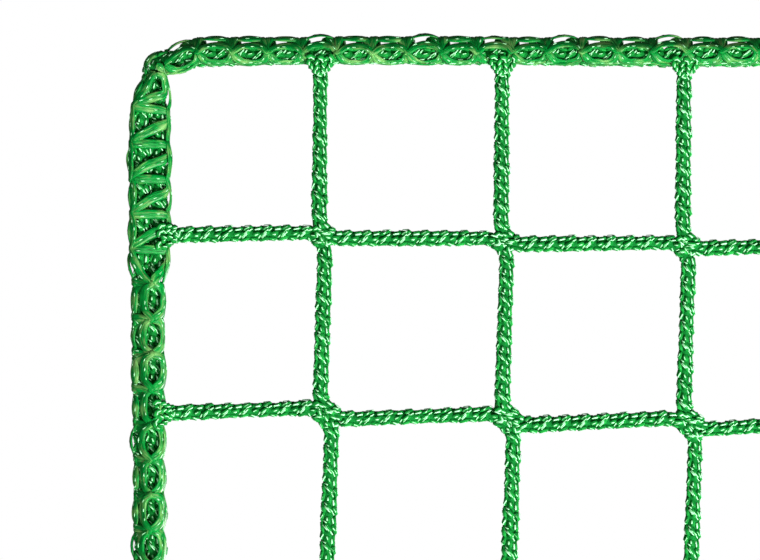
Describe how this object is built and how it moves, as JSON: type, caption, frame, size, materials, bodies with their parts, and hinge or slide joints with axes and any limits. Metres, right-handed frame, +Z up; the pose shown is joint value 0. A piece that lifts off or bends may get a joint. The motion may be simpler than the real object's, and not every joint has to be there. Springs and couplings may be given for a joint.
{
  "type": "climbing net",
  "caption": "Rectangular panel of knotless square-mesh climbing net in green knitted cord, with an overedged border, hanging flat and upright.",
  "frame": {"origin": "middle of the flat along the top of the upper border", "axes": "+Z up along the net's long side, +X to the right as seen from the front, front towards -Y"},
  "size_m": [0.6648, 0.011, 0.9698],
  "materials": {
    "net_cord": "knitted green polypropylene cord, glossy filaments",
    "border_cord": "plain green polypropylene cord, hidden in the border",
    "overedge_yarn": "flat bundles of shiny green filament, stitched over the border"
  },
  "bodies": {
    "root": {"strand_from_top_01": "net_cord", "strand_from_top_02": "net_cord", "strand_from_top_03": "net_cord", "strand_from_top_04": "net_cord", "strand_from_top_05": "net_cord", "strand_from_top_06": "net_cord", "strand_from_top_07": "net_cord", "strand_from_top_08": "net_cord", "strand_from_top_09": "net_cord", "strand_from_top_10": "net_cord", "strand_from_top_11": "net_cord", "strand_from_left_01": "net_cord", "strand_from_left_02": "net_cord", "strand_from_left_03": "net_cord", "strand_from_left_04": "net_cord", "strand_from_left_05": "net_cord", "strand_from_left_06": "net_cord", "strand_from_left_07": "net_cord", "strand_from_left_08": "net_cord", "strand_from_left_09": "net_cord", "strand_from_left_10": "net_cord", "strand_from_left_11": "net_cord", "strand_from_left_12": "net_cord", "strand_from_left_13": "net_cord", "strand_from_left_14": "net_cord", "strand_from_left_15": "net_cord", "strand_from_left_16": "net_cord", "border_cord": "border_cord", "overedge_top": "overedge_yarn", "overedge_right": "overedge_yarn", "overedge_bottom": "overedge_yarn", "overedge_left": "overedge_yarn", "overedge_corner_top_left": "overedge_yarn", "overedge_corner_top_right": "overedge_yarn", "overedge_corner_bottom_right": "overedge_yarn", "overedge_corner_bottom_left": "overedge_yarn"}
  },
  "joints": []
}
